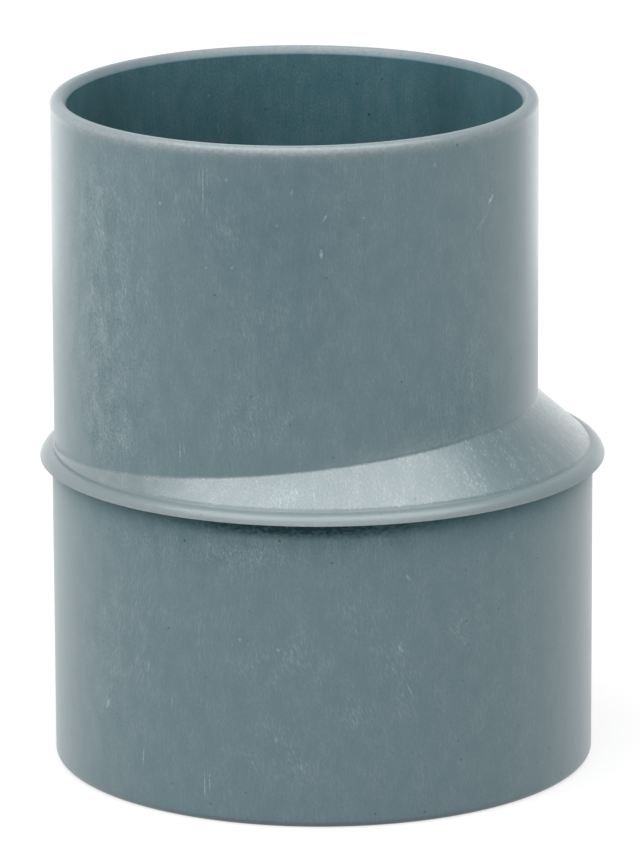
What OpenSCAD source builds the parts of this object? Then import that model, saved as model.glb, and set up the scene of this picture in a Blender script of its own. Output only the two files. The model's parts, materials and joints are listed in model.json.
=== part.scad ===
// Eccentric pipe reducer, moulded in one piece.
// A plain spigot below, a stop collar, a cone shoulder on the spigot's axis,
// and a socket above whose axis stands to the -X side of the spigot's axis.
// The row frame has its origin at the middle of the spigot's end, with +Z up.

/* [Spigot] */

// Outside diameter of the spigot
spigot_od = 90; // [86:0.5:96]
// Length of the spigot, from its end to the underside of the collar
spigot_len = 51.5; // [44:0.5:64]
// Wall thickness of the spigot
spigot_wall = 3; // [2.6:0.1:3.6]
// Radius of the rounding round the spigot's outer end
spigot_round = 1.2; // [0.6:0.1:1.6]
// Width of the small chamfer round the spigot's inner end
spigot_bevel = 0.4; // [0.2:0.1:0.8]

/* [Socket] */

// Outside diameter of the pipe that the socket takes
pipe_od = 75; // [71:0.5:77]
// Clearance on diameter between that pipe and the socket's bore
pipe_clear = 0.2; // [0.1:0.1:0.6]
// Wall thickness of the socket
socket_wall = 2.7; // [2.4:0.1:3.2]
// Depth of the socket, from its mouth down to the stop ledge
socket_depth = 44; // [38:0.5:46]
// Width of the stop ledge inside the socket
stop_ledge = 1.4; // [0.8:0.1:2]
// Radius of the rounding round the socket's outer rim
rim_round = 1.2; // [0.6:0.1:1.4]
// Width of the lead-in bevel inside the socket's mouth
lead_wide = 0.8; // [0.5:0.1:1]
// Height of the lead-in bevel inside the socket's mouth
lead_tall = 1.2; // [0.8:0.1:2]

/* [Shoulder] */

// Height of the whole part
total_height = 112; // [108:0.5:124]
// How far the socket's side stands in from the spigot's on the flush side
flush_step = 0.1; // [0:0.1:1]
// Rise of the cone shoulder for each millimetre it goes inwards
cone_slope = 0.89; // [0.7:0.01:1]
// Height of the cone above the collar's underside, on the spigot's radius
cone_lift = 1.5; // [1.2:0.1:1.8]
// Height of the gap between the outer and the inner cone, which sets the wall
cone_wall = 4; // [3.4:0.1:4.6]

/* [Collar] */

// How far the collar stands out from the spigot
collar_out = 2; // [1.4:0.1:3]
// Radius of the collar's domed section
collar_round = 2.3; // [2.2:0.1:2.6]
// Height of the dome's centre below the collar's underside
collar_drop = 0.6; // [0.5:0.1:0.8]
// Width of the steep neck between the cone and the collar
neck_wide = 0.6; // [0.4:0.1:0.9]
// How far inside the spigot's radius that neck starts
neck_in = 0.8; // [0.7:0.1:1]

/* [Hidden] */

// Facets round each turned surface
$fn = 180;

// Overlap between the turned pieces of the one moulding
lap = 0.5;
// Fall of the neck for each millimetre it goes outwards
neck_steep = 1.5;
// Extra length that takes a cut clear past a face
past = 1;

// Radii of the spigot
spigot_r = spigot_od / 2;
spigot_bore_r = spigot_r - spigot_wall;

// Radii of the socket, its outside and the passage under the ledge
socket_bore_r = (pipe_od + pipe_clear) / 2;
socket_r = socket_bore_r + socket_wall;
passage_r = socket_bore_r - stop_ledge;

// Distance between the two axes
axis_offset = spigot_r - socket_r - flush_step;

// The outer cone: its height on the spigot's radius
cone_z = spigot_len + cone_lift;
// The outer cone is turned up to here, inside the socket's wall on every side
cone_top_r = socket_r - axis_offset - socket_wall;
cone_top_z = cone_z + cone_slope * (spigot_r - cone_top_r);
// The neck: where the cone stops, and where the collar's top starts
neck_r = spigot_r - neck_in;
neck_z = cone_z + cone_slope * neck_in;
neck_foot_r = neck_r + neck_wide;
neck_tall = neck_wide * neck_steep;

// Centre of the collar's domed section
collar_r = spigot_r + collar_out;
collar_cx = collar_r - sqrt(collar_round * collar_round - collar_drop * collar_drop);
collar_cz = spigot_len - collar_drop;

// The inner cone starts at the top of the spigot's bore
bore_top_z = cone_z - cone_wall + cone_slope * spigot_wall;
// The inner cone is cut up to here, inside the passage on every side
inner_top_r = passage_r - axis_offset - lap;
inner_top_z = bore_top_z + cone_slope * (spigot_bore_r - inner_top_r);

// Level of the stop ledge
stop_z = total_height - socket_depth;

// Half section of the spigot, filled in to the axis
module spigot_section() {
    square_h = spigot_len + lap;
    translate([0, spigot_round])
        square([spigot_r, square_h - spigot_round]);
    square([spigot_r - spigot_round, square_h]);
    translate([spigot_r - spigot_round, spigot_round])
        circle(r = spigot_round);
}

// Half section of the collar, domed above and flat below
module collar_section() {
    intersection() {
        translate([collar_cx, collar_cz])
            circle(r = collar_round);
        translate([spigot_bore_r, spigot_len])
            square([collar_r, 2 * collar_round]);
    }
}

// Half section of the shoulder: the cone, and the neck down to the collar
module shoulder_section() {
    polygon([
        [0, spigot_len],
        [neck_foot_r, spigot_len],
        [neck_foot_r, neck_z - neck_tall],
        [neck_r, neck_z],
        [cone_top_r, cone_top_z],
        [0, cone_top_z]
    ]);
}

// Half section of the socket's outside, filled in to its axis
module socket_section() {
    tall = total_height - spigot_len;
    square([socket_r, tall - rim_round]);
    square([socket_r - rim_round, tall]);
    translate([socket_r - rim_round, tall - rim_round])
        circle(r = rim_round);
}

// Half section of everything removed on the spigot's axis
module spigot_hollow_section() {
    polygon([
        [0, -past],
        [spigot_bore_r + spigot_bevel + past, -past],
        [spigot_bore_r, spigot_bevel],
        [spigot_bore_r, bore_top_z],
        [inner_top_r, inner_top_z],
        [0, inner_top_z]
    ]);
}

// Half section of everything removed on the socket's axis
module socket_hollow_section() {
    polygon([
        [0, bore_top_z - past],
        [passage_r, bore_top_z - past],
        [passage_r, stop_z],
        [socket_bore_r, stop_z],
        [socket_bore_r, total_height - lead_tall],
        [socket_bore_r + lead_wide, total_height],
        [socket_bore_r + lead_wide, total_height + past],
        [0, total_height + past]
    ]);
}

module reducer() {
    color([0.43, 0.51, 0.53])
    difference() {
        union() {
            rotate_extrude() spigot_section();
            rotate_extrude() collar_section();
            rotate_extrude() shoulder_section();
            translate([-axis_offset, 0, spigot_len])
                rotate_extrude() socket_section();
        }
        rotate_extrude() spigot_hollow_section();
        translate([-axis_offset, 0, 0])
            rotate_extrude() socket_hollow_section();
    }
}

reducer();
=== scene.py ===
import json
import math

import bpy
import numpy as np
from mathutils import Matrix, Vector


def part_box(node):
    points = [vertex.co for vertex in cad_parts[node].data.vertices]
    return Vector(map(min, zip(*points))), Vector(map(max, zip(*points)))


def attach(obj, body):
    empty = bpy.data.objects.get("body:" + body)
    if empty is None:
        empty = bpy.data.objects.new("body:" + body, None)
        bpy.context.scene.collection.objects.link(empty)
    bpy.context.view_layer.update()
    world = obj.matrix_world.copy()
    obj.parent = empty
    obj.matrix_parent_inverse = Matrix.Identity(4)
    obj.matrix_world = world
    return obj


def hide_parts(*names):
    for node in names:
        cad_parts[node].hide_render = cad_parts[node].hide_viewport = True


# Looks of an eccentric pipe reducer, moulded in one piece from blue-grey pipe plastic.
# Lengths are in metres in the row frame: the origin is the middle of the spigot's end, +Z is
# up, and the socket's axis stands to the -X side of the spigot's axis.

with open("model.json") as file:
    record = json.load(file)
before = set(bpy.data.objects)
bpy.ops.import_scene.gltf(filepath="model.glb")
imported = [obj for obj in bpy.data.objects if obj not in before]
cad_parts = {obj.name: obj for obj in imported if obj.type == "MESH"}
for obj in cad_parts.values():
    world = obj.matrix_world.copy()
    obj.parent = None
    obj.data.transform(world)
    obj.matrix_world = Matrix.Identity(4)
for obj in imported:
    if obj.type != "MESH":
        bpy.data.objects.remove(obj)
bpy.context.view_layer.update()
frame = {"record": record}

MM = 0.001

# Sizes of the moulding

mounts = {mount["name"]: mount for mount in frame["record"]["mounts"]}
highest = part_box("reducer")[1]

TOTAL_HEIGHT = highest.z
COLLAR_R = highest.x
SPIGOT_R = mounts["spigot"]["dims"]["r_mm"] * MM
SOCKET_BORE_R = mounts["socket_bore"]["dims"]["r_mm"] * MM
SOCKET_AXIS_X = mounts["socket_bore"]["pos_m"][0]
STOP_Z = mounts["socket_stop"]["pos_m"][2]
COLLAR_Z = mounts["collar_stop"]["pos_m"][2]

# Sizes that no mount gives.
SPIGOT_WALL = 3 * MM
SPIGOT_ROUND = 1.2 * MM
SPIGOT_BEVEL = 0.4 * MM
SOCKET_WALL = 2.7 * MM
STOP_LEDGE = 1.4 * MM
RIM_ROUND = 1.2 * MM
LEAD_WIDE = 0.8 * MM
LEAD_TALL = 1.2 * MM
CONE_SLOPE = 0.89
CONE_LIFT = 1.5 * MM
CONE_WALL = 4 * MM
COLLAR_ROUND = 2.3 * MM
COLLAR_DROP = 0.6 * MM
NECK_IN = 0.8 * MM
NECK_SLOPE = 1.5

SPIGOT_BORE_R = SPIGOT_R - SPIGOT_WALL
SOCKET_R = SOCKET_BORE_R + SOCKET_WALL
PASSAGE_R = SOCKET_BORE_R - STOP_LEDGE
CONE_Z = COLLAR_Z + CONE_LIFT
BORE_TOP_Z = CONE_Z - CONE_WALL + CONE_SLOPE * SPIGOT_WALL

# Grid: columns round the part, and the side where its surface coordinates join, which is
# the far side from the camera.
COLUMNS = 360
JOIN_ANGLE = math.radians(108)

# Rows of the crease, and how many of them are still the wall's. Rows from the crease to the
# neck, and with those of the neck's upper edge.
CREASE_ROWS = 5
CREASE_ROWS_ON_WALL = 2
CREASE_TO_NECK_ROWS = 8
CONE_ROWS = CREASE_TO_NECK_ROWS + 6
# Points on the collar's dome, and on the round of the spigot's end and of the rim.
DOME_POINTS = 14
ROUND_POINTS = 10
# The last rows: those of the rim's round with the one before them, and how many of them
# carry a painted highlight.
RIM_ROWS = ROUND_POINTS + 1
HIGHLIT_RIM_ROWS = 7
# The least distance between two rows of the shoulder, and a height that counts as none.
ROW_GAP = 0.02 * MM
LEVEL = 0.01 * MM

# Small rounds of the moulding, as the distance from the corner where each starts: on its
# edges, on the collar's sharp lip, in the corners beside the collar, inside the spigot's end,
# at the stop ledge, on the rim's inner edge, and in the creases outside and inside.
EDGE_EASE = 0.12 * MM
LIP_EASE = 0.04 * MM
COLLAR_EASE = 0.1 * MM
END_EASE = 0.08 * MM
LEDGE_EASE = 0.2 * MM
RIM_EASE = 0.3 * MM
CREASE_EASE = 0.3 * MM

# How far in past the spigot's bore the sections of the outer and the inner cone run.
CONE_PAST = 12 * MM
# How far beside the neck's top its foot is looked for, and in how many steps.
NECK_REACH = 1 * MM
NECK_STEPS = 400
# Degrees by which the dome's points stay clear of the rounds at its foot and at its lip, and
# the turn in radians from the lip to a point above it.
FOOT_CLEAR, LIP_CLEAR = 8, 6
LIP_TURN = .07
# The crease never comes closer than this to the collar's edge.
CREASE_CLEAR = 1.3 * MM

# Height of the band under the collar that keeps the plain moulded skin, whose haze is
# thinned there as painted shade, and of the painted shadow that sits as a dark line in the
# corner at its top, with the height over which that shadow fades and its least share round
# the part.
UNRUBBED_AND_SHADED_DEPTH = 2.5 * MM
COLLAR_SHADOW_DEPTH = 3.0 * MM
COLLAR_SHADOW_FADE = 1.6 * MM
COLLAR_SHADOW_LEAST = .08

# The share of the lead-in bevel, at its foot, over which the inside's skin gives way to the
# rim's finish, how much of the outside's skin lies on the rim, and how much of the rim's
# finish is left at the foot of its round.
BEVEL_TURN = .45
RIM_SKIN = .6
RIM_FADE = .4

# How pale the edges are, and over which height: the collar's lower edge, with wear and a
# painted highlight, the wall under the rim, a painted highlight, and the foot of the
# socket's wall, with wear. Over the last rows of the rim's round a painted highlight goes
# from one value to the other.
LIP_WEAR_AND_HIGHLIGHT, LIP_WEAR_AND_HIGHLIGHT_TALL = 2.2, 0.45 * MM
RIM_HIGHLIGHT, RIM_HIGHLIGHT_TALL = 1.6, 1.0 * MM
CREASE_WEAR, CREASE_WEAR_TALL = 1.5, 1.8 * MM
ROUND_HIGHLIGHT = (.1, 1.7)

# How dense strokes and speckle are away from their patches, the scores and the speckle on
# the cone, and the speckle inside.
UPRIGHT_BASE, LEFTWARD_BASE, RIGHTWARD_BASE = .35, .3, .2
SPECKLE_BASE, SCORE_BASE = .15, .45
CONE_SPECKLE, INSIDE_SPECKLE = 3.2, .4

# Where the skin is rubbed, in patches on the outside walls: the place round the part and its
# height, the patch's lean in degrees, its length and its width, all in millimetres on the
# unrolled wall, and how dense the strokes are. A lean above 0 goes up to the right.
RUBBED_UPRIGHT = [
    (121, 104, 0, 15, 16, 1.0), (148, 108, 0, 6, 24, .5), (169, 65, 0, 9, 24, .5),
    (126, 21, 0, 42, 3, .8), (131, 35, 0, 12, 7, .5), (153, 48, 0, 5, 20, .6),
    (116, 45, 0, 9, 26, .5), (145, 87, 0, 16, 12, .5), (134, 75, 0, 16, 12, .4),
]
RUBBED_LEFT = [
    (98, 97, -20, 28, 34, 1.4), (101, 80, -15, 28, 32, 1.2), (102, 64, -10, 20, 28, .8),
    (133, 46, -12, 8, 19, 1.2), (129, 97, -9, 11, 12, .6), (134, 84, -11, 12, 15, .6),
    (134, 67, -15, 9, 20, .9),
    (142, 29, -21, 12, 11, 1.0), (151, 35, -26, 10, 8, .9), (157, 26, -23, 15, 8, .9),
    (151, 20, -22, 10, 8, .8), (142, 13, -21, 13, 11, 1.0), (134, 26, -20, 9, 6, .7),
    (134, 11, -20, 6, 6, .8), (170, 32, -42, 8, 8, .7), (177, 71, -15, 18, 20, .5),
]
RUBBED_RIGHT = [
    (109, 27, 26, 26, 19, 1.0), (105, 18, 29, 12, 9, .9), (115, 21, 15, 12, 8, .7),
    (111, 36, 14, 22, 16, .5), (182, 97, 45, 14, 6, .6),
]
SPECKLED = [
    (98, 97, 0, 40, 32, 1.1), (100, 78, 0, 26, 30, 1.2), (100, 64, 0, 22, 28, 1.5),
    (102, 24, 0, 50, 28, .6),
    (133, 46, 0, 7, 22, 1.3), (153, 48, 0, 5, 24, .8), (116, 46, 0, 8, 30, .7),
    (104, 60, 0, 5, 24, 1.0), (134, 68, 0, 12, 20, .5), (177, 68, 0, 20, 24, .6),
]
# Where painted shade darkens the skin inside the socket, in the same measures. Below it,
# painted shade on the cone and the collar, and where the outside has less haze, which on
# the right of the cone is painted shade.
SHADED = [
    (46, 103, 0, 26, 30, .42), (24, 93, 0, 36, 46, .30), (12, 99, 0, 14, 12, .12),
    (249, 99, 0, 44, 20, .42), (228, 96, 0, 36, 26, .34), (0, 84, 0, 30, 110, .18),
]
# Painted shade on the cone and the collar.
SHADED_OUTSIDE = [(86, 54, 0, 30, 64, .34), (112, 56, 0, 12, 24, .12), (184, 60, 0, 28, 34, .30)]
# Less haze, at the front of the wall and, as painted shade, on the right of the cone.
LESS_HAZE_AND_SHADE = [(139, 100, 0, 50, 44, 1.0), (143, 78, 0, 26, 20, .5), (180, 61, 0, 34, 50, 1.0)]
# Where the rim's flat and the foot of the socket's wall show wear, and where the painted
# shadow under the collar is strongest. Of these only the place round the part, the width
# and the strength count.
WORN_RIM = [(276, 0, 0, 1, 84, 1.8)]
WORN_CREASE = [(164, 0, 0, 1, 50, 1)]
COLLAR_SHADOW_PLACES = [(143, 0, 0, 1, 54, 1)]
# Clusters of scores on the cone.
SCORED = [(141, 55, 0, 8, 14, 2.4), (126, 56, 0, 6, 9, 1.6), (172, 64, 0, 14, 16, .8)]
# Single marks in the same measures, with how pale each is. One below 0 is a dark pit.
MARKS = [
    (146.2, 94.5, 0, 1.9, .8, 1.2), (182.4, 99.9, 49, 2.6, .85, 1.6),
    (179.8, 96.5, 53, 6.3, .6, .4), (146.9, 100.4, 30, 2.0, .5, .9),
    (124.7, 105.2, 0, 8.5, .4, .7), (124.0, 106.5, 0, 4, .35, .5), (125.5, 107.1, 0, 4, .35, .5),
    (119.7, 60.6, 0, 4, .4, .8), (120.5, 61.4, -5, 3.2, .35, .6), (98.5, 84.7, -35, 2.8, .6, .7),
    (100, 94.1, -25, 3.8, .6, .6), (103.4, 74.6, 0, 2.4, .55, .6), (141, 104.8, 22, 1.2, .6, .6),
    (104.9, 16.2, 24, 2.3, .95, 1.0), (113.9, 9, 5, 4, .42, 1.0), (126.4, 6, 0, 5.4, .4, 1.0),
    (127.3, 6.7, 0, 4.4, .35, .8), (158.2, 30, -33, 2.2, .6, .8), (159.5, 41.8, -29, 1.6, .6, .8),
    (159.8, 22.7, -23, 3.2, .4, .7), (115.2, 24.4, 8, 3, .55, .6), (142.7, 10.8, -11, 3.4, .4, .6),
    (139.1, 30.2, 0, 1, .75, .7), (138.7, 14.9, -14, 1.3, .75, .7), (177.5, 46, 0, 1.7, 1.4, .35),
    (120.2, 19.5, 0, 2.2, .4, .6), (132.8, 31.5, 0, .9, .5, .7),
    (129.1, 106.5, 0, .7, .7, .6), (120.9, 99.3, 0, .7, .7, .6), (125.2, 91.8, 0, .6, .6, .6),
    (130.1, 92.1, 0, .6, .6, .6), (138.3, 99.2, 0, .7, .7, .6), (152.9, 97.4, 0, .55, .55, .6),
    (154, 100.1, 0, .55, .55, .6), (116, 101.6, 0, .8, .8, .6), (168.2, 107.5, 0, .8, .8, .6),
    (173.3, 110.2, 0, .6, .6, -1), (167.8, 13.1, 0, .5, .5, -.8), (179.1, 13.3, 0, .5, .5, -.8),
    (186.5, 7.4, 0, .5, .5, -.8), (123, 47.1, 0, .7, .7, -1), (139.5, 48.5, 0, .6, .6, -1),
]
# The same for the socket's inside.
INSIDE_MARKS = [
    (270, 105.9, 0, .6, .6, -.9), (264.6, 107, 0, .6, .6, -.9), (267.5, 100.7, 0, .9, .7, -1),
    (6, 101.3, 0, .8, .7, -.7), (18, 104.3, 0, .6, .6, .6), (16, 98.5, 10, 2.2, .5, .3),
    (31, 106, -20, 1.6, .5, .3), (236, 99, 25, 1.8, .5, .3),
]


# Profiles

def arc(centre_r, centre_z, radius, start, stop, points):
    """Points of a circle in the half section: centre + radius (cos a, sin a), where the
    angle a goes evenly from start to stop, in degrees."""
    a = np.radians(np.linspace(start, stop, points))
    return np.column_stack([centre_r + radius * np.cos(a), centre_z + radius * np.sin(a)])


def eased(before, corner, after, ease=EDGE_EASE):
    """A corner of the half section, opened into a small round. With a and b the points at
    the distance ease from the corner, towards its neighbours, the round is the curve
    (1-s)^2 a + 2 s (1-s) corner + s^2 b, and one more point at twice that distance on each
    side keeps the shading of the faces next to it flat."""
    before, corner, after = (np.array(p, float) for p in (before, corner, after))
    back = (before - corner) / np.linalg.norm(before - corner)
    on = (after - corner) / np.linalg.norm(after - corner)
    s = np.linspace(0, 1, 4)[:, None]
    a, b = corner + ease * back, corner + ease * on
    curve = (1 - s) ** 2 * a + 2 * s * (1 - s) * corner + s ** 2 * b
    return np.vstack([corner + 2 * ease * back, curve, corner + 2 * ease * on])


def straight(start, stop, fractions):
    """Points on the line from start to stop, at the given fractions of its length."""
    start, stop = np.array(start, float), np.array(stop, float)
    return start + np.array(fractions)[:, None] * (stop - start)


def lower_outside():
    """Half section (r, z) of the outside from the cone down to the middle of the spigot's
    end face, about the spigot's axis: cone z = CONE_Z + CONE_SLOPE (SPIGOT_R - r), steep
    neck, collar with a domed top and a flat underside, plain wall, rounded end."""
    neck_r = SPIGOT_R - NECK_IN
    neck = (neck_r, CONE_Z + CONE_SLOPE * NECK_IN)
    cone_top = (SPIGOT_BORE_R - CONE_PAST, CONE_Z + CONE_SLOPE * (SPIGOT_WALL + CONE_PAST))
    # The collar: a dome of one radius, with its centre COLLAR_DROP below the underside.
    lip = (COLLAR_R, COLLAR_Z)
    edge = math.asin(COLLAR_DROP / COLLAR_ROUND)
    dome_r, dome_z = COLLAR_R - COLLAR_ROUND * math.cos(edge), COLLAR_Z - COLLAR_DROP
    # The neck's foot: where its line z = neck_z - NECK_SLOPE (r - neck_r) meets the dome.
    foot_r = np.linspace(neck_r, neck_r + NECK_REACH, NECK_STEPS)
    gap = (neck[1] - NECK_SLOPE * (foot_r - neck_r)
           - dome_z - np.sqrt(COLLAR_ROUND ** 2 - (foot_r - dome_r) ** 2))
    foot_r = foot_r[np.argmax(gap < 0)]
    foot_angle = math.degrees(math.acos((foot_r - dome_r) / COLLAR_ROUND))
    foot = (foot_r, dome_z + COLLAR_ROUND * math.sin(math.radians(foot_angle)))
    above_lip = (dome_r + COLLAR_ROUND * math.cos(edge + LIP_TURN),
                 dome_z + COLLAR_ROUND * math.sin(edge + LIP_TURN))
    wall_top, wall_foot = (SPIGOT_R, COLLAR_Z), (SPIGOT_R, SPIGOT_ROUND)
    end_r = SPIGOT_R - SPIGOT_ROUND
    return np.vstack([
        [cone_top],
        eased(cone_top, neck, foot),
        eased(neck, foot, (foot_r + NECK_IN, foot[1]), COLLAR_EASE)[:-1],
        arc(dome_r, dome_z, COLLAR_ROUND, foot_angle - FOOT_CLEAR,
            math.degrees(edge) + LIP_CLEAR, DOME_POINTS),
        eased(above_lip, lip, wall_top, LIP_EASE),
        eased(lip, wall_top, wall_foot, COLLAR_EASE),
        straight(wall_top, wall_foot, [.008, .014, .02, .027, .035, .045, .06]),
        straight(wall_top, wall_foot, np.linspace(.08, 1, 40)),
        arc(end_r, SPIGOT_ROUND, SPIGOT_ROUND, 0, -90, ROUND_POINTS)[1:],
        [((end_r + SPIGOT_BORE_R + SPIGOT_BEVEL) / 2, 0)],
    ])


def lower_inside():
    """Half section (r, z) of the inside about the spigot's axis, going up: the end face's
    inner half, a small bevel, the bore, and the corner where the inner cone starts."""
    mouth = (SPIGOT_BORE_R + SPIGOT_BEVEL, 0)
    bevel_top = (SPIGOT_BORE_R, SPIGOT_BEVEL)
    bore_top = (SPIGOT_BORE_R, BORE_TOP_Z)
    cone = (SPIGOT_BORE_R - CONE_PAST, BORE_TOP_Z + CONE_SLOPE * CONE_PAST)
    return np.vstack([
        eased((SPIGOT_R, 0), mouth, bevel_top, END_EASE),
        eased(mouth, bevel_top, bore_top, END_EASE),
        straight(bevel_top, bore_top, [.03, .1, .3, .5, .7, .9, .97]),
        eased(bevel_top, bore_top, cone, CREASE_EASE),
    ])


def socket_inside():
    """Half section (r, z) about the socket's axis, going up from the passage: stop ledge,
    bore, lead-in bevel, flat top and the rim's outer round."""
    passage = (PASSAGE_R, BORE_TOP_Z)
    ledge_in, ledge_out = (PASSAGE_R, STOP_Z), (SOCKET_BORE_R, STOP_Z)
    lead_foot = (SOCKET_BORE_R, TOTAL_HEIGHT - LEAD_TALL)
    lead_top = (SOCKET_BORE_R + LEAD_WIDE, TOTAL_HEIGHT)
    rim_r = SOCKET_R - RIM_ROUND
    return np.vstack([
        eased(passage, ledge_in, ledge_out),
        eased(ledge_in, ledge_out, lead_foot, LEDGE_EASE),
        straight(ledge_out, lead_foot, [.03, .1, .25, .4, .55, .68, .78, .86, .93, .98]),
        eased(ledge_out, lead_foot, lead_top),
        eased(lead_foot, lead_top, (rim_r, TOTAL_HEIGHT), RIM_EASE)[1:-1],
        arc(rim_r, TOTAL_HEIGHT - RIM_ROUND, RIM_ROUND, 90, 0, ROUND_POINTS),
    ])


def turned(section, angles):
    """Points of a half section turned about the Z axis at the given angles. The grid has a
    row for each point and a column for each angle: (r cos a, r sin a, z)."""
    r, z = section[..., 0], section[..., 1]
    if section.ndim == 2:
        r, z = r[:, None], z[:, None]
    return np.stack(np.broadcast_arrays(r * np.cos(angles), r * np.sin(angles), z), axis=-1)


# The moulding as one closed grid

def crossing(radius, angles):
    """Where the circle of that radius about the socket's axis stands, seen from the
    spigot's axis: its points p = (SOCKET_AXIS_X, 0) + radius (cos a, sin a), given as their
    distance |p| and their direction, the angle of p."""
    x = SOCKET_AXIS_X + radius * np.cos(angles)
    y = radius * np.sin(angles)
    return np.hypot(x, y), np.arctan2(y, x)


def outer_shoulder(angles):
    """The outside from the crease downwards, one column for each angle about the socket's
    axis. A column starts where the socket's wall meets the lower outside, at the distance
    d from the spigot's axis, and then follows the lower half section by its own length. On
    the flush side d lies on the collar, so there the rows above it close up to ROW_GAP,
    and none of them turns back. Gives the grid and the line of the crease."""
    distance, direction = crossing(SOCKET_R, angles)
    section = lower_outside()
    length = np.concatenate([[0], np.cumsum(np.hypot(*np.diff(section, axis=0).T))])
    reach = np.argmax(section[:, 0] >= COLLAR_R - CREASE_CLEAR)
    crease = np.interp(distance, section[:reach, 0], length[:reach])
    start = crease + CREASE_EASE
    cone_end = length[1]
    s = np.linspace(0, 1, CREASE_TO_NECK_ROWS + 1)[:-1, None]
    cone = start + s * (cone_end - start)
    rest = np.broadcast_to(length[1:, None], (len(length) - 1, len(angles)))
    rows = np.vstack([cone, rest])
    rows = np.maximum(rows, start + ROW_GAP * np.arange(len(rows))[:, None])
    path = np.stack([np.interp(rows, length, section[:, 0]),
                     np.interp(rows, length, section[:, 1])], axis=-1)
    corner = np.stack([np.interp(crease, length, section[:, 0]),
                       np.interp(crease, length, section[:, 1])], axis=-1)
    return turned(path, direction), turned(corner[None], direction)[0]


def moulding(angles):
    """The whole moulding as a grid of points that closes on itself both ways: rows run down
    the outside, under the end and up the inside to the rim, columns run round the part. The
    wall, the inner cone and the passage are straight blends a + t (b - a) between two rings
    of points, the crease is the curve (1-s)^2 a + 2 s (1-s) crease + s^2 b, and the rest are
    turned half sections. Gives the grid in parts."""
    axis = np.array([SOCKET_AXIS_X, 0, 0])
    shoulder, crease = outer_shoulder(angles)
    above = crease + np.array([0, 0, CREASE_EASE])
    s = np.linspace(0, 1, CREASE_ROWS + 1)[:-1, None, None]
    crease_round = (1 - s) ** 2 * above + 2 * s * (1 - s) * crease + s ** 2 * shoulder[0]
    wall_top = turned(np.array([[SOCKET_R, TOTAL_HEIGHT - RIM_ROUND]]), angles)[0] + axis
    down = np.concatenate([[.005, .015], np.linspace(.03, .97, 40), [.985, .997]])
    wall = wall_top + down[:, None, None] * (above - wall_top)

    distance, direction = crossing(PASSAGE_R, angles)
    joint_z = BORE_TOP_Z + CONE_SLOPE * (SPIGOT_BORE_R - distance)
    bore = turned(lower_inside(), direction)
    joint = turned(np.stack([distance, joint_z], axis=-1)[None], direction)[0]
    foot = bore[-1]
    inner_cone = foot + np.array([.15, .4, .7, .93, .98])[:, None, None] * (joint - foot)
    socket = turned(socket_inside(), angles) + axis
    up = np.array([.02, .1, .4, .8])
    passage = joint + up[:, None, None] * (socket[0] - joint)
    return [wall, crease_round, shoulder, bore, inner_cone, passage, socket]


def face_corners(count, columns):
    """The rows and the columns of the four corners of each face of the grid, in the order
    of the faces. The row count and the column columns are the first ones again."""
    i, j = np.meshgrid(np.arange(count), np.arange(columns), indexing="ij")
    return np.stack([i, i + 1, i + 1, i], axis=-1), np.stack([j, j, j + 1, j + 1], axis=-1)


def grid_mesh(name, rows, around):
    """A mesh from a grid of points that closes both ways, with its faces outwards and its
    surface map in metres: u goes round the part and v goes along the rows by the mean
    length of the step."""
    count, columns = rows.shape[:2]
    mesh = bpy.data.meshes.new(name)
    i, j = face_corners(count, columns)
    mesh.from_pydata(rows.reshape(-1, 3), [], (i % count * columns + j % columns).reshape(-1, 4))
    step = np.linalg.norm(np.roll(rows, -1, axis=0) - rows, axis=-1).mean(1)
    v = np.concatenate([[0], np.cumsum(step)])
    layer = mesh.uv_layers.new(name="surface")
    layer.data.foreach_set("uv", np.stack([around[j], v[i]], axis=-1).ravel())
    mesh.shade_smooth()
    return mesh


def mark_places(rows, around, outer_rows):
    """For each corner of each face, its place in the frame of the face's nearest mark: x
    across the mark over half its width, y along it over half its length, and the mark's
    strength. The nearest is the one with the least |(x, y)| when 1 mm is added to each half
    size, out of the marks on the face's own side, outside or inside."""
    count, columns = rows.shape[:2]
    i, j = face_corners(count, columns)
    u, z = around[j], rows[..., 2][i % count, j % columns]
    mark_u, mark_z, lean, long, wide, strength = np.array(MARKS + INSIDE_MARKS).T
    mark_u, mark_z = mark_u * MM, mark_z * MM
    half_wide, half_long = wide / 2 * MM, long / 2 * MM
    cos, sin = np.cos(np.radians(lean)), np.sin(np.radians(lean))

    def turned_back(across, up, cos, sin):
        return across * cos - up * sin, across * sin + up * cos

    x, y = turned_back(u.mean(-1)[..., None] - mark_u, z.mean(-1)[..., None] - mark_z, cos, sin)
    away = np.hypot(x / (half_wide + MM), y / (half_long + MM))
    away[outer_rows:, :, :len(MARKS)] = np.inf
    away[:outer_rows, :, len(MARKS):] = np.inf
    nearest = np.argmin(away, axis=-1)[..., None]
    x, y = turned_back(u - mark_u[nearest], z - mark_z[nearest], cos[nearest], sin[nearest])
    return np.stack([x / half_wide[nearest], y / half_long[nearest],
                     np.broadcast_to(strength[nearest], x.shape)], axis=-1)


def patches(around, height, table):
    """How strongly each point lies in the patches of a table: the sum of
    density exp(-2 (x^2 + y^2)), with x and y the point's place in the patch's own turned
    frame, over half its width and half its length. The far side wears as the near side."""
    total = np.zeros(height.shape)
    whole = 2 * math.pi * SPIGOT_R
    for u, z, lean, long, wide, density in table:
        turn = math.radians(lean)
        for side in (0, whole / 2):
            across = (around - u * MM + side + whole / 2) % whole - whole / 2
            up = height - z * MM
            x = (across * math.cos(turn) - up * math.sin(turn)) / (wide / 2 * MM)
            y = (across * math.sin(turn) + up * math.cos(turn)) / (long / 2 * MM)
            total += density * np.exp(-2 * (x ** 2 + y ** 2))
    return total


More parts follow.
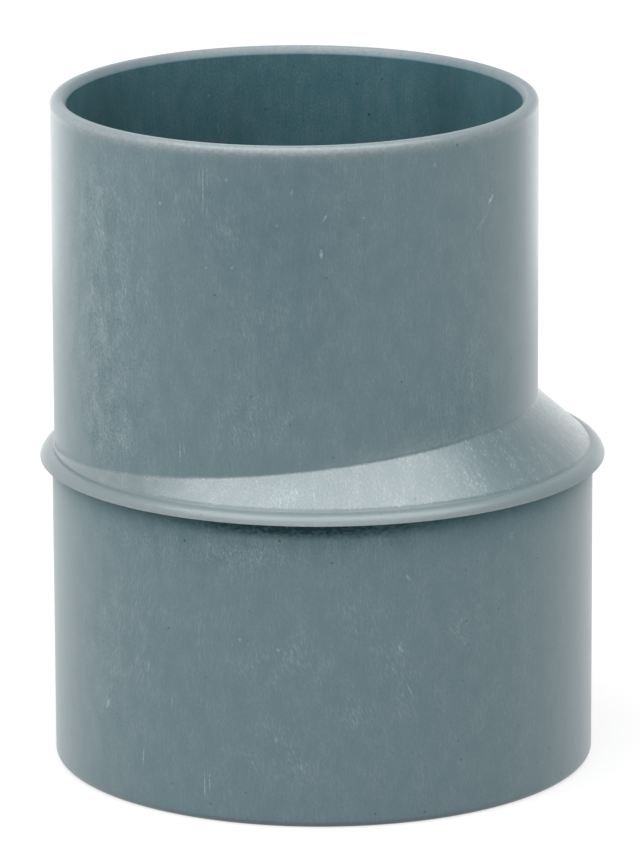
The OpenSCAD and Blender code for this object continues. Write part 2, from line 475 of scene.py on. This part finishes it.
def edge_wear_and_highlights(height, face, collar, rim, sizes):
    """How pale each edge is, from wear and from painted highlights: the collar's lower edge,
    wear with a painted highlight, with exp(-h / t) at the height h above it and t the lip's
    fade height, the rim's flat in its patches, with wear, the lower part of the rim's round
    and the wall below it, fading evenly downwards, a painted highlight, and the foot of the
    socket's wall in its patches, with wear, with exp(-h / CREASE_WEAR_TALL) at the height h
    above the crease."""
    level = np.zeros(height.shape)
    wear_and_highlight = LIP_WEAR_AND_HIGHLIGHT * collar * np.exp(-np.maximum(height - COLLAR_Z, 0) / LIP_WEAR_AND_HIGHLIGHT_TALL)
    inside = slice(sizes[6], None)
    wear_and_highlight[inside] = rim[inside] * patches(face, level, WORN_RIM)[inside]
    wear_and_highlight[-HIGHLIT_RIM_ROWS:] += np.linspace(*ROUND_HIGHLIGHT, HIGHLIT_RIM_ROWS)[:, None]
    wall = slice(sizes[1])
    below_round = TOTAL_HEIGHT - height[wall] - RIM_ROUND
    above_crease = height[wall] - height[sizes[1] - 1]
    wear_and_highlight[wall] = (RIM_HIGHLIGHT * np.clip(1 - below_round / RIM_HIGHLIGHT_TALL, 0, 1)
                  + CREASE_WEAR * np.exp(-above_crease / CREASE_WEAR_TALL)
                  * patches(face[wall], level[wall], WORN_CREASE))
    return wear_and_highlight


def finish_masks(rows, sizes, around):
    """Point values that say where each finish of the skin lies, and where shade and highlights
    are painted into its colour. The grid's parts start at the rows in sizes: wall 0, crease 1,
    shoulder to spigot 2, bore 3, socket's inside 6."""
    height = rows[..., 2]
    zero = np.zeros(height.shape)
    face = np.broadcast_to(around[:-1], height.shape)
    bore, socket = sizes[3], sizes[6]
    # Outside skin: 1 on the outside and 0 inside. The rim has less of it, and a finish of its
    # own over the lead-in bevel's upper part, the flat and the round.
    lead = (LEAD_TALL - (TOTAL_HEIGHT - height[socket:])) / (BEVEL_TURN * LEAD_TALL)
    rim = zero.copy()
    rim[socket:] = np.clip(lead, 0, 1)
    outside = zero + 1
    outside[bore:socket] = 0
    outside[socket:] = RIM_SKIN * rim[socket:]
    outside[-RIM_ROWS:] = np.linspace(RIM_FADE, 1, RIM_ROWS)[:, None]
    rim[-RIM_ROWS:] = np.linspace(1, RIM_FADE, RIM_ROWS)[:, None]
    shoulder = zero.copy()
    shoulder[sizes[1] + CREASE_ROWS_ON_WALL:sizes[2] + CONE_ROWS] = 1
    collar = zero.copy()
    collar[sizes[2] + CONE_ROWS:bore] = 1
    collar *= height > COLLAR_Z + LEVEL
    # Under the collar: a band that hands don't reach, with thinner haze as painted shade and a
    # brighter pigment as painted light, and a painted shadow in its corner.
    spigot = (collar == 0) & (outside > 0) & (height < COLLAR_Z + LEVEL)
    drop = np.maximum(COLLAR_Z - height, 0)
    unrubbed_and_shaded = np.where(spigot, np.exp(-drop / UNRUBBED_AND_SHADED_DEPTH), 0)
    # The painted shadow is strongest at the front of the collar.
    front = COLLAR_SHADOW_LEAST + (1 - COLLAR_SHADOW_LEAST) * patches(face, zero, COLLAR_SHADOW_PLACES)
    collar_shadow = np.where(spigot, np.clip((COLLAR_SHADOW_DEPTH - drop) / COLLAR_SHADOW_FADE, 0, 1), 0) * front
    walls = outside * (collar == 0) * (shoulder == 0)
    scored = shoulder * (SCORE_BASE + patches(face, height, SCORED))
    inside = outside == 0
    return {
        "outside": outside, "shoulder": shoulder, "collar": collar, "rim": rim,
        "wear_and_highlight": edge_wear_and_highlights(height, face, collar, rim, sizes),
        "unrubbed_and_shaded": unrubbed_and_shaded, "collar_shadow": collar_shadow,
        "upright": walls * (UPRIGHT_BASE + patches(face, height, RUBBED_UPRIGHT)) + scored,
        "leftward": walls * (LEFTWARD_BASE + patches(face, height, RUBBED_LEFT)) + scored,
        "rightward": walls * (RIGHTWARD_BASE + patches(face, height, RUBBED_RIGHT)) + scored,
        "speckled": (walls * (SPECKLE_BASE + patches(face, height, SPECKLED))
                     + shoulder * CONE_SPECKLE + inside * INSIDE_SPECKLE),
        "less_haze_and_shade": np.minimum(outside * patches(face, height, LESS_HAZE_AND_SHADE), 1),
        # Painted shade inside the socket and on the cone and the collar.
        "shaded": np.minimum(inside * patches(face, height, SHADED)
                             + (shoulder + collar) * patches(face, height, SHADED_OUTSIDE), 1),
    }


def reducer_piece():
    """The reducer: the closed grid, with its maps and the point values of its finishes."""
    turn = np.arange(COLUMNS + 1) / COLUMNS * 2 * math.pi
    parts = moulding(JOIN_ANGLE + turn[:-1])
    rows = np.concatenate(parts)
    around = turn * SPIGOT_R
    mesh = grid_mesh("reducer_moulding", rows, around)
    sizes = np.cumsum([0] + [len(part) for part in parts])
    for name, values in finish_masks(rows, sizes, around).items():
        layer = mesh.attributes.new(name, "FLOAT", "POINT")
        layer.data.foreach_set("value", values.ravel())
    layer = mesh.attributes.new("mark", "FLOAT_VECTOR", "CORNER")
    layer.data.foreach_set("vector", mark_places(rows, around, sizes[3]).ravel())
    piece = bpy.data.objects.new("reducer_moulding", mesh)
    bpy.context.scene.collection.objects.link(piece)
    return piece


# Materials

# Colours: the pigment, a brighter copy of it under the collar that is painted light, the
# pale haze of handling, the rubbed strokes, a greyish tint on the cone, the collar and the
# rim that is painted light, and the dark of pits and of painted shade.
PIGMENT = (.039, .103, .123, 1)
# A brighter copy of the pigment under the collar: painted light.
UNDER_COLLAR_LIT_PIGMENT = (.05, .15, .175, 1)
HAZE = (.66, .65, .66, 1)
RUBBED = (.54, .65, .67, 1)
LIT_GREY_TINT = (.185, .175, .17, 1)
PITS_AND_SHADE_DARK = (.008, .034, .042, 1)

# Layers of strokes: the mask that says where, the lean in degrees on the walls and on the
# cone, the width and the length of a cell in millimetres, and the share of the cells that
# have a stroke. A stroke ends at STROKE_BODY of a cell from its middle.
STROKES = [
    ("upright", 0, 10, .34, 2.6, .75),
    ("leftward", -18, -38, .36, 2.2, .75),
    ("leftward", -28, -30, .42, 1.3, .65),
    ("rightward", 22, 52, .36, 2.8, .75),
    ("speckled", 10, 70, .45, .55, .5),
]
STROKE_BODY = .42
# Loose pits, made as strokes are: the same measures, and a tiny body.
PIT_ACROSS, PIT_ALONG, PIT_SHARE, PIT_BODY = 7, 6, .22, .04
# Grains of the skin: the width and the length of a cell in millimetres, and the contrast.
FINE = (.32, .5, 1.6)
STREAKS = (.35, 5, 1.4)
CLOUD = (3.2, 5, 2.2)
BREAKS = (.9, .6, 3)

def add(tree, kind, values=None, **settings):
    """Adds a node with its settings, and sets its inputs: a socket is linked, anything else
    is a value."""
    node = tree.nodes.new(kind)
    for name, value in settings.items():
        setattr(node, name, value)
    for key, value in (values or {}).items():
        if isinstance(value, bpy.types.NodeSocket):
            tree.links.new(value, node.inputs[key])
        else:
            node.inputs[key].default_value = value
    return node


def mask(tree, name):
    """One of the point values that the piece carries."""
    return add(tree, "ShaderNodeAttribute", attribute_name=name).outputs["Fac"]


def maths(tree, operation, *values, clamp=False):
    """One step of arithmetic on masks: a socket is linked, a number is set."""
    return add(tree, "ShaderNodeMath", dict(enumerate(values)), operation=operation,
               use_clamp=clamp).outputs[0]


def blend(tree, share, first, second):
    """Goes from the first colour to the second by a mask. A colour is a socket or a value."""
    return add(tree, "ShaderNodeMix", {0: share, 6: first, 7: second},
               data_type="RGBA").outputs[2]


def weighed(tree, base, *layers):
    """The base plus each layer's mask times its weight, kept from 0 to 1 at the end."""
    total = base
    for count, (layer, weight) in enumerate(layers, 1):
        total = maths(tree, "MULTIPLY_ADD", layer, weight, total, clamp=count == len(layers))
    return total


def new_group(name, sockets):
    """A shader node group with named inputs, given as (name, kind, value), and the output
    Mask. Returns the group, its inputs and its outputs."""
    group = bpy.data.node_groups.new(name, "ShaderNodeTree")
    for label, kind, value in sockets:
        socket = group.interface.new_socket(label, in_out="INPUT", socket_type=kind)
        if value is not None:
            socket.default_value = value
    group.interface.new_socket("Mask", in_out="OUTPUT", socket_type="NodeSocketFloat")
    start = group.nodes.new("NodeGroupInput").outputs
    end = group.nodes.new("NodeGroupOutput").inputs
    return group, start, end


def placed(tree, group, values):
    """The mask that a group puts out, with its own values set."""
    return add(tree, "ShaderNodeGroup", values, node_tree=group).outputs[0]


def vector_maths(tree, operation, *values):
    """One step of arithmetic on vectors: a socket is linked, a tuple is set."""
    return add(tree, "ShaderNodeVectorMath", dict(enumerate(values)), operation=operation)


def stretched(tree, start):
    """The map turned by Lean, so that a stroke stands upright on it, over cells that are
    Across wide and Along long."""
    turned_map = add(tree, "ShaderNodeVectorRotate",
                     {"Vector": start["Map"], "Angle": start["Lean"]}, rotation_type="Z_AXIS")
    cell = add(tree, "ShaderNodeCombineXYZ", {"X": start["Across"], "Y": start["Along"], "Z": 1.0})
    return vector_maths(tree, "DIVIDE", turned_map.outputs[0], cell.outputs[0]).outputs[0]


def strokes_group():
    """Light strokes, one to a cell of a random cell pattern. A cell has one where its random
    value is under Share. The stroke is full in the cell's middle and ends at Body of a cell
    from it, and each has its own strength."""
    tree, start, end = new_group("strokes", [
        ("Map", "NodeSocketVector", None), ("Lean", "NodeSocketFloat", 0),
        ("Across", "NodeSocketFloat", .0004), ("Along", "NodeSocketFloat", .003),
        ("Share", "NodeSocketFloat", .5), ("Body", "NodeSocketFloat", .4)])
    cells = add(tree, "ShaderNodeTexVoronoi", {"Vector": stretched(tree, start), "Scale": 1.0},
                voronoi_dimensions="2D", feature="F1")
    random = add(tree, "ShaderNodeSeparateColor", {"Color": cells.outputs["Color"]})
    inside = maths(tree, "SUBTRACT", start["Body"], cells.outputs["Distance"])
    body = maths(tree, "DIVIDE", inside, maths(tree, "MULTIPLY", start["Body"], .7), clamp=True)
    kept = maths(tree, "LESS_THAN", random.outputs[0], start["Share"])
    strength = maths(tree, "MULTIPLY_ADD", random.outputs[1], .7, .3)
    tree.links.new(maths(tree, "MULTIPLY", maths(tree, "MULTIPLY", body, kept), strength), end[0])
    return tree


def grain_group():
    """Fine uneven skin: noise over cells of Across by Along, from 0 to 1 with 0.5 as its
    mean, drawn apart by Contrast."""
    tree, start, end = new_group("grain", [
        ("Map", "NodeSocketVector", None), ("Lean", "NodeSocketFloat", 0),
        ("Across", "NodeSocketFloat", .0004), ("Along", "NodeSocketFloat", .0004),
        ("Contrast", "NodeSocketFloat", 1)])
    noise = add(tree, "ShaderNodeTexNoise", {"Vector": stretched(tree, start), "Scale": 1.0,
                                             "Detail": 2.0}, noise_dimensions="2D")
    apart = maths(tree, "SUBTRACT", noise.outputs[0], .5)
    tree.links.new(maths(tree, "MULTIPLY_ADD", apart, start["Contrast"], .5, clamp=True), end[0])
    return tree


def oval_group():
    """An oval of radius 1 in a mark's own frame, that fades over the outer share Edge."""
    tree, start, end = new_group("oval", [("Place", "NodeSocketVector", None),
                                          ("Edge", "NodeSocketFloat", .6)])
    flat = vector_maths(tree, "MULTIPLY", start["Place"], (1, 1, 0)).outputs[0]
    away = vector_maths(tree, "LENGTH", flat).outputs["Value"]
    tree.links.new(maths(tree, "DIVIDE", maths(tree, "SUBTRACT", 1.0, away), start["Edge"],
                         clamp=True), end[0])
    return tree


def rubbing(tree, strokes, surface, shoulder):
    """The layers of strokes together, each where its mask says. The map's v runs downwards,
    so a lean changes its sign on it."""
    rubbed = 0.0
    for where, lean, on_cone, across, along, share in STROKES:
        turn = maths(tree, "MULTIPLY_ADD", shoulder, math.radians(lean - on_cone),
                     math.radians(-lean))
        layer = placed(tree, strokes, {"Map": surface, "Lean": turn, "Across": across * MM,
                                       "Along": along * MM, "Share": share,
                                       "Body": STROKE_BODY})
        rubbed = maths(tree, "MULTIPLY_ADD", layer, mask(tree, where), rubbed)
    return rubbed


def grain_layer(tree, grain, surface, across, along, contrast):
    """One grain of the skin, as a value about 0."""
    layer = placed(tree, grain, {"Map": surface, "Across": across * MM, "Along": along * MM,
                                 "Contrast": contrast})
    return maths(tree, "SUBTRACT", layer, .5)


def single_marks(tree, strokes, surface, fine):
    """The single marks, and the pits. A mark is an oval in its own frame times its strength,
    broken up by the fine grain, and one with a strength below 0 is a pit."""
    place = add(tree, "ShaderNodeAttribute", attribute_name="mark").outputs["Vector"]
    mark = placed(tree, oval_group(), {"Place": place, "Edge": .7})
    strength = add(tree, "ShaderNodeSeparateXYZ", {0: place}).outputs[2]
    single = maths(tree, "MULTIPLY", mark, maths(tree, "MAXIMUM", strength, 0.0))
    single = maths(tree, "MULTIPLY", single, maths(tree, "MULTIPLY_ADD", fine, 1.4, .9))
    depth = maths(tree, "MAXIMUM", maths(tree, "MULTIPLY", strength, -1.0), 0.0)
    pits = maths(tree, "MULTIPLY", mark, depth)
    loose_pits = placed(tree, strokes, {"Map": surface, "Across": PIT_ACROSS * MM,
                                        "Along": PIT_ALONG * MM, "Share": PIT_SHARE,
                                        "Body": PIT_BODY})
    return single, maths(tree, "MAXIMUM", pits, loose_pits)


def pipe_plastic():
    """Blue-grey pipe plastic: a deep pigment under a pale haze of handling, which the rubbed
    patches, scratches and edges carry more of. Painted into the colour are a shadow under the
    collar, darker patches inside and on the cone and the collar, a brighter pigment under the
    collar, highlights on the collar's lip and the rim, and a grey tint on the lit cone, collar
    and rim."""
    material = bpy.data.materials.new("pipe_plastic")
    material.use_nodes = True
    tree = material.node_tree
    shader = tree.nodes["Principled BSDF"]
    surface = add(tree, "ShaderNodeUVMap", uv_map="surface").outputs[0]
    strokes, grain = strokes_group(), grain_group()
    outside, shoulder, collar, rim, wear_and_highlight, unrubbed_and_shaded, collar_shadow, speckled, less_haze_and_shade, shaded = (
        mask(tree, name) for name in ("outside", "shoulder", "collar", "rim", "wear_and_highlight",
                                      "unrubbed_and_shaded", "collar_shadow", "speckled", "less_haze_and_shade", "shaded"))

    fine, streaks, cloud, breaks = (grain_layer(tree, grain, surface, *cells)
                                    for cells in (FINE, STREAKS, CLOUD, BREAKS))
    rubbed = rubbing(tree, strokes, surface, shoulder)
    rubbed = maths(tree, "MULTIPLY", rubbed, maths(tree, "MULTIPLY_ADD", cloud, 1.3, .85))
    single, pits = single_marks(tree, strokes, surface, fine)
    uneven = maths(tree, "MULTIPLY_ADD", streaks, .5, fine)
    uneven = maths(tree, "MULTIPLY_ADD", cloud, .5, uneven)
    uneven = maths(tree, "MULTIPLY", uneven, maths(tree, "MULTIPLY_ADD", speckled, 1.6, .55))
    # Edge wear, with painted highlights on the collar's lip and on the rim.
    broken_wear_and_highlight = maths(tree, "MULTIPLY", wear_and_highlight, maths(tree, "MULTIPLY_ADD", breaks, .6, .85))

    # The haze, the rubbed strokes, and the grey tint on the cone, the collar and the rim, which
    # is painted light.
    open_skin = maths(tree, "MULTIPLY_ADD", unrubbed_and_shaded, -1, outside, clamp=True)
    collar_and_rim = maths(tree, "MAXIMUM", collar, rim)
    # The haze is thinner under the collar and on the right of the cone, as painted shade.
    haze = weighed(tree, .022, (open_skin, .07), (shoulder, -.08), (less_haze_and_shade, -.04),
                   (uneven, .045), (broken_wear_and_highlight, .07))
    wear = weighed(tree, 0.0, (single, .26), (rubbed, .1))
    # A grey tint on the lit cone: painted light.
    cone_lit_grey = maths(tree, "MULTIPLY", shoulder, maths(tree, "MULTIPLY_ADD", less_haze_and_shade, -.15, .37))
    lit_grey = weighed(tree, cone_lit_grey, (collar_and_rim, .42), (collar, -.12))
    # The painted shadow in the corner under the collar, the pits, and the painted shade of the
    # darker areas.
    corner = maths(tree, "MULTIPLY", collar_shadow, maths(tree, "MULTIPLY_ADD", breaks, .8, 1.0),
                   clamp=True)
    pits_and_shade = maths(tree, "MAXIMUM", maths(tree, "MULTIPLY", corner, .92),
                 maths(tree, "MULTIPLY", pits, .8))
    pits_and_shade = maths(tree, "MAXIMUM", pits_and_shade, shaded)

    # Under the collar the pigment turns brighter: painted light.
    colour = blend(tree, unrubbed_and_shaded, PIGMENT, UNDER_COLLAR_LIT_PIGMENT)
    for share, tint in ((haze, HAZE), (wear, RUBBED), (lit_grey, LIT_GREY_TINT), (pits_and_shade, PITS_AND_SHADE_DARK)):
        colour = blend(tree, share, colour, tint)
    rough = maths(tree, "ADD", rubbed, single)
    gloss = weighed(tree, .05, (open_skin, .85), (collar_and_rim, -.31), (collar_shadow, -.6), (rough, -.15))
    bump = add(tree, "ShaderNodeBump", {"Strength": .25, "Distance": .00003, "Height": uneven})
    tree.links.new(colour, shader.inputs["Base Color"])
    tree.links.new(weighed(tree, .4, (rough, .2)), shader.inputs["Roughness"])
    tree.links.new(gloss, shader.inputs["Coat Weight"])
    tree.links.new(bump.outputs[0], shader.inputs["Normal"])
    shader.inputs["IOR"].default_value = 1.5
    shader.inputs["Specular IOR Level"].default_value = .1
    shader.inputs["Coat Roughness"].default_value = .33
    shader.inputs["Coat IOR"].default_value = 1.5
    return material


# Studio

# The camera stands to the front, turned 18 degrees to the +X side, and looks down a little.
# Angles are in radians. The reach is its distance from the spigot's axis, and the height is
# that above the floor.
VIEW_TURN = math.radians(18)
VIEW_PITCH = 0.25962
VIEW_ROLL = 0.00455
VIEW_REACH = 1.2003
VIEW_HEIGHT = 0.3736
# The image's height and the focal length in its pixels, and how far right of its middle the
# spigot's axis lies.
IMAGE_TALL = 864
FOCAL_PIXELS = 7458
AXIS_RIGHT_PIXELS = 2.44
SENSOR_MM = 36

# The world's light on the part, and the floor's half width, grey and glow.
FILL = .94
FLOOR_HALF = 3
FLOOR_GREY = (.2, .2, .2, 1)
FLOOR_GLOW = .72

# Lamps: name, bearing, lift, reach, width, height, brightness, and whether it is a card.
LAMPS = [
    ("left", -95, 15, 1.4, 1.8, 1.4, .8, False),
    ("right", 85, 15, 1.4, 1.4, 1.4, .15, False),
    ("overhead", -5, 80, 1.0, 1.55, .85, 2.5, False),
    ("key", -35, 48, 1.15, 1.0, .9, .85, False),
    ("front", 10, 45, 1.2, 1.2, .6, .45, False),
    ("top_card", 0, 84, 1.0, 1.6, .8, 2.4, True),
    ("front_card", 5, 28, 1.0, 1.1, .5, 1.6, True),
    ("left_card", -148, 5, .35, .3, .35, .66, True),
    ("right_card", 155, -5, .35, .25, .25, .58, True),
    ("left_side_card", -75, 0, .6, .35, .5, .2, True),
    ("right_side_card", 80, 0, .6, .35, .5, .2, True),
]


def camera():
    """The photograph's view: a long lens, its focal length such that the sensor spans the
    image's height."""
    data = bpy.data.cameras.new("view")
    data.sensor_width = SENSOR_MM
    data.lens = FOCAL_PIXELS / IMAGE_TALL * SENSOR_MM
    data.clip_start, data.clip_end = .05, 50
    eye = bpy.data.objects.new("view", data)
    aside = AXIS_RIGHT_PIXELS / FOCAL_PIXELS
    turn = (Matrix.Rotation(VIEW_TURN + aside, 4, "Z")
            @ Matrix.Rotation(math.pi / 2 - VIEW_PITCH, 4, "X")
            @ Matrix.Rotation(-VIEW_ROLL, 4, "Z"))
    place = Vector((VIEW_REACH * math.sin(VIEW_TURN), -VIEW_REACH * math.cos(VIEW_TURN),
                    VIEW_HEIGHT))
    eye.matrix_world = Matrix.Translation(place) @ turn
    bpy.context.scene.collection.objects.link(eye)
    bpy.context.scene.camera = eye


def panel(name, bearing, lift, reach, width, tall, brightness, card):
    """A soft rectangular lamp that faces the part. Bearing is its direction round the part
    in degrees, from the camera's side and growing to the camera's right. Lift is its height
    in degrees above the part's middle. Its radiance is its power over four times its area.
    A card shows in the part's gloss alone."""
    lamp = bpy.data.lights.new(name, "AREA")
    lamp.shape = "RECTANGLE"
    lamp.size, lamp.size_y = width, tall
    lamp.energy = 4 * width * tall * brightness
    stand = bpy.data.objects.new(name, lamp)
    round_part = math.radians(bearing) + VIEW_TURN - math.pi / 2
    rise = math.radians(lift)
    away = Vector((math.cos(rise) * math.cos(round_part),
                   math.cos(rise) * math.sin(round_part), math.sin(rise)))
    stand.location = away * reach + Vector((0, 0, TOTAL_HEIGHT / 2))
    stand.rotation_euler = away.to_track_quat("Z", "Y").to_euler()
    stand.visible_camera = False
    stand.visible_diffuse = not card
    bpy.context.scene.collection.objects.link(stand)


def shown_white(tree):
    """1 for the rays that show the backdrop: straight, mirrored and through glass."""
    path = add(tree, "ShaderNodeLightPath").outputs
    mirrored = maths(tree, "ADD", path["Is Camera Ray"], path["Is Glossy Ray"])
    return maths(tree, "ADD", mirrored, path["Is Transmission Ray"], clamp=True)


def surroundings():
    """A white backdrop that lights the part evenly."""
    world = bpy.data.worlds.new("studio")
    world.use_nodes = True
    tree = world.node_tree
    tree.nodes.clear()
    fill = add(tree, "ShaderNodeBackground", {"Color": (1, 1, 1, 1), "Strength": FILL})
    white = add(tree, "ShaderNodeBackground", {"Color": (1, 1, 1, 1), "Strength": 1})
    mix = add(tree, "ShaderNodeMixShader", {0: shown_white(tree), 1: fill.outputs[0],
                                            2: white.outputs[0]})
    add(tree, "ShaderNodeOutputWorld", {"Surface": mix.outputs[0]})
    bpy.context.scene.world = world


def floor():
    """A plain pale floor: nearly white to the camera, with the part's soft shadow on it."""
    half = FLOOR_HALF
    mesh = bpy.data.meshes.new("floor")
    mesh.from_pydata([(-half, -half, 0), (half, -half, 0), (half, half, 0), (-half, half, 0)],
                     [], [(0, 1, 2, 3)])
    ground = bpy.data.objects.new("floor", mesh)
    bpy.context.scene.collection.objects.link(ground)
    material = bpy.data.materials.new("floor")
    material.use_nodes = True
    tree = material.node_tree
    tree.nodes.clear()
    matt = add(tree, "ShaderNodeBsdfDiffuse", {"Color": FLOOR_GREY})
    glow = add(tree, "ShaderNodeEmission", {"Color": (1, 1, 1, 1), "Strength": FLOOR_GLOW})
    both = add(tree, "ShaderNodeAddShader", {0: matt.outputs[0], 1: glow.outputs[0]})
    mix = add(tree, "ShaderNodeMixShader", {0: shown_white(tree), 1: matt.outputs[0],
                                            2: both.outputs[0]})
    add(tree, "ShaderNodeOutputMaterial", {"Surface": mix.outputs[0]})
    ground.data.materials.append(material)


piece = reducer_piece()
piece.data.materials.append(pipe_plastic())
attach(piece, "root")
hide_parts("reducer")

camera()
surroundings()
floor()
for lamp in LAMPS:
    panel(*lamp)

bpy.context.scene.view_settings.view_transform = "Standard"
